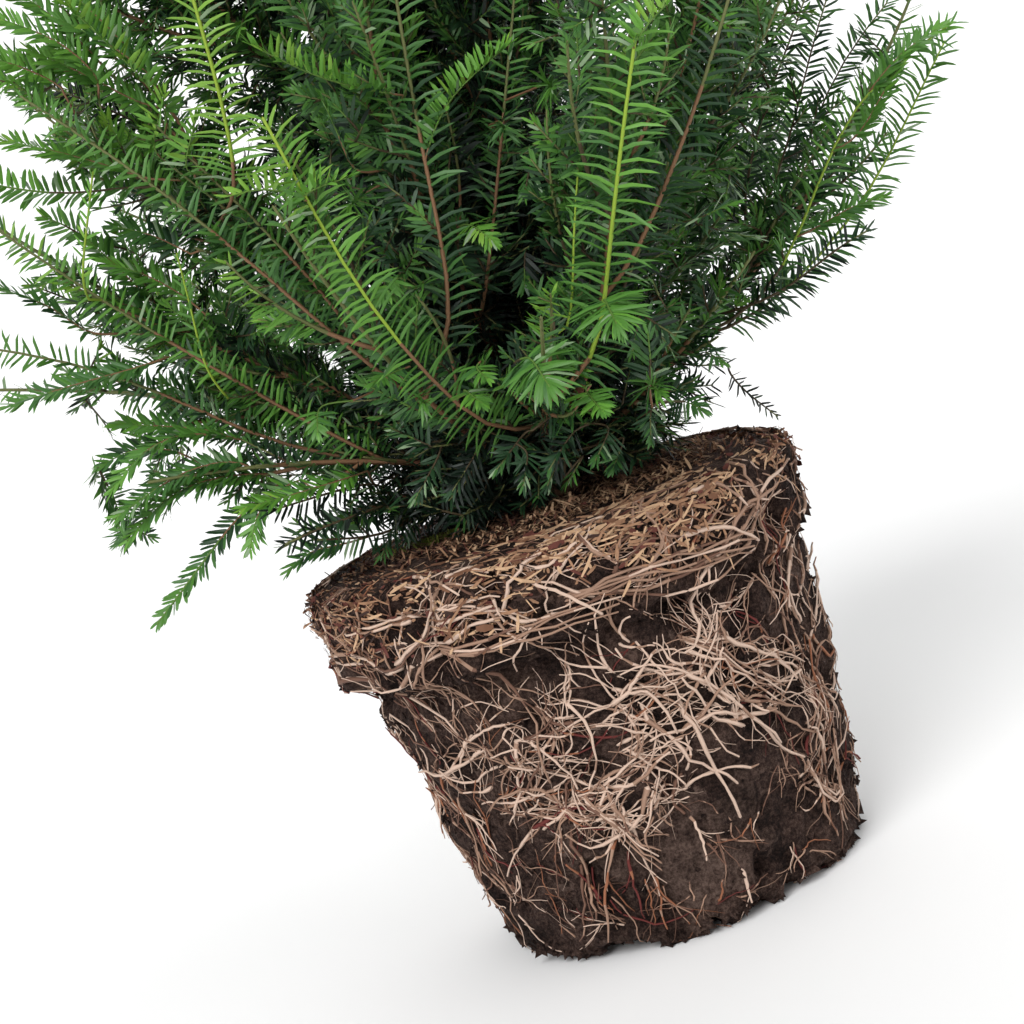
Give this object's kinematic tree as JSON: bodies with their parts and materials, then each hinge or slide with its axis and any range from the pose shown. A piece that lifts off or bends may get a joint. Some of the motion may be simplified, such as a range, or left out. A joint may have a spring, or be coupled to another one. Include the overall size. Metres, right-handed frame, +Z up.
{
  "type": "container-grown english yew on its root ball",
  "caption": "Young bushy yew with rising boughs and dark green needle foliage, standing on the bare root ball left by its nursery container.",
  "frame": {"origin": "centre of the root ball's flat underside, where the plant stands", "axes": "+Z up along the trunk, -Y the front, +X to the plant's right as seen from the front"},
  "size_m": [0.5781, 0.4932, 0.8644],
  "materials": {
    "compost": "matte",
    "trunk_bark": "matte",
    "bough_bark": "matte",
    "needles": "matte"
  },
  "bodies": {
    "root": {"root_ball": "compost", "trunk": "trunk_bark", "bough_back_high": "bough_bark", "bough_back_left_high": "bough_bark", "bough_back_left_low": "bough_bark", "bough_back_low": "bough_bark", "bough_back_right_high": "bough_bark", "bough_back_right_low": "bough_bark", "bough_front_left": "bough_bark", "bough_front_low": "bough_bark", "bough_front_middle": "bough_bark", "bough_front_right": "bough_bark", "bough_front_upright": "bough_bark", "bough_left_drooping": "bough_bark", "bough_left_front": "bough_bark", "bough_left_high": "bough_bark", "bough_left_low": "bough_bark", "bough_left_middle": "bough_bark", "bough_right_front": "bough_bark", "bough_right_front_low": "bough_bark", "bough_right_high": "bough_bark", "bough_right_low": "bough_bark", "bough_top_front": "bough_bark", "bough_top_left": "bough_bark", "bough_top_right": "bough_bark", "bough_upper_back_left": "bough_bark", "bough_upper_back_right": "bough_bark", "bough_upper_front": "bough_bark", "bough_upper_left": "bough_bark", "bough_upper_right": "bough_bark", "foliage_back_high": "needles", "foliage_back_left_high": "needles", "foliage_back_left_low": "needles", "foliage_back_low": "needles", "foliage_back_right_high": "needles", "foliage_back_right_low": "needles", "foliage_front_left": "needles", "foliage_front_low": "needles", "foliage_front_middle": "needles", "foliage_front_right": "needles", "foliage_front_upright": "needles", "foliage_left_drooping": "needles", "foliage_left_front": "needles", "foliage_left_high": "needles", "foliage_left_low": "needles", "foliage_left_middle": "needles", "foliage_right_front": "needles", "foliage_right_front_low": "needles", "foliage_right_high": "needles", "foliage_right_low": "needles", "foliage_top": "needles", "foliage_top_front": "needles", "foliage_top_left": "needles", "foliage_top_right": "needles", "foliage_upper_back_left": "needles", "foliage_upper_back_right": "needles", "foliage_upper_front": "needles", "foliage_upper_left": "needles", "foliage_upper_right": "needles"}
  },
  "joints": []
}
